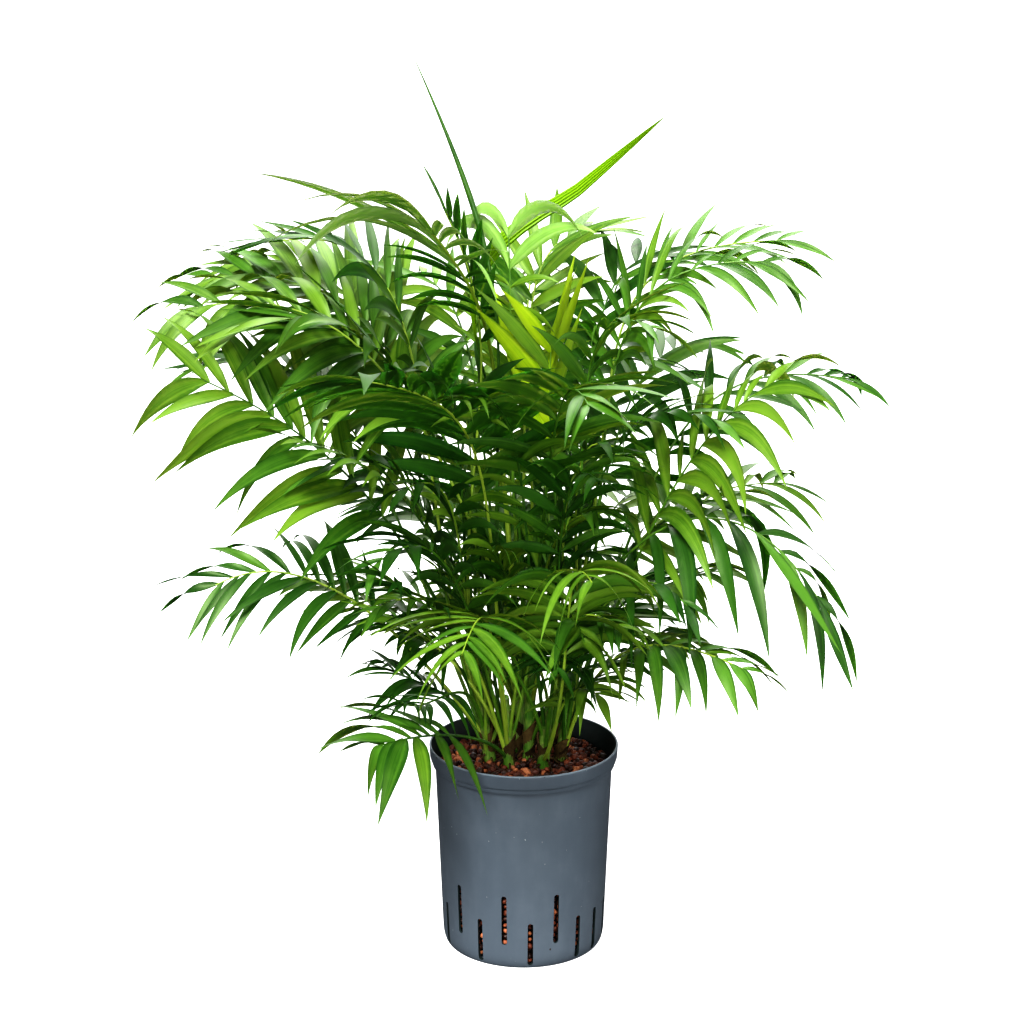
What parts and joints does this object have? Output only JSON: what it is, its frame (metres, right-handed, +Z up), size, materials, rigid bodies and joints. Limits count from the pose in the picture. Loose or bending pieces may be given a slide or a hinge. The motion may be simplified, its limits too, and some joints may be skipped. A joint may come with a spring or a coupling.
{
  "type": "potted parlour palm",
  "caption": "Bushy parlour palm with short green canes and arching feathered fronds, standing in a slotted blue-grey culture pot of clay granulate.",
  "frame": {"origin": "middle of the pot's flat underside, on the floor", "axes": "+Z up along the pot's axis, -Y towards the plant's front, +X to its right as seen from the front"},
  "size_m": [0.6797, 0.5923, 0.8],
  "materials": {
    "pot_plastic": "blue-grey moulded plastic, matt, slightly dusty",
    "clay_granulate": "red-brown expanded clay pebbles, rough and dry on top",
    "cane_green": "green ringed cane with dry sheaths at the foot",
    "leaf_green": "smooth living leaf, satin, ribbed lengthwise",
    "young_leaf_green": "smooth young leaf, lighter yellow-green, satin"
  },
  "bodies": {
    "root": {"pot": "pot_plastic", "granulate": "clay_granulate", "cane_1": "cane_green", "cane_2": "cane_green", "cane_3": "cane_green", "cane_4": "cane_green", "cane_5": "cane_green", "cane_6": "cane_green", "cane_7": "cane_green", "cane_8": "cane_green", "cane_9": "cane_green", "frond_01": "leaf_green", "frond_02": "leaf_green", "frond_03": "leaf_green", "frond_04": "leaf_green", "frond_05": "leaf_green", "frond_06": "leaf_green", "frond_07": "leaf_green", "frond_08": "leaf_green", "frond_09": "leaf_green", "frond_10": "leaf_green", "frond_11": "leaf_green", "frond_12": "leaf_green", "frond_13": "leaf_green", "frond_14": "leaf_green", "frond_15": "leaf_green", "frond_16": "leaf_green", "frond_17": "leaf_green", "frond_18": "leaf_green", "frond_19": "leaf_green", "frond_20": "leaf_green", "frond_21": "leaf_green", "frond_22": "leaf_green", "frond_23": "leaf_green", "frond_24": "leaf_green", "frond_25": "leaf_green", "frond_26": "leaf_green", "frond_27": "leaf_green", "frond_28": "leaf_green", "frond_29": "leaf_green", "frond_30": "leaf_green", "frond_31": "leaf_green", "frond_32": "leaf_green", "frond_33": "leaf_green", "frond_34": "leaf_green", "frond_35": "leaf_green", "frond_36": "leaf_green", "frond_37": "leaf_green", "frond_38": "leaf_green", "frond_39": "leaf_green", "frond_40": "leaf_green", "frond_41": "leaf_green", "frond_42": "leaf_green", "frond_43": "leaf_green", "frond_44": "leaf_green", "frond_45": "leaf_green", "frond_46": "leaf_green", "frond_47": "leaf_green", "spear_leaf": "young_leaf_green", "young_leaf": "young_leaf_green"}
  },
  "joints": []
}
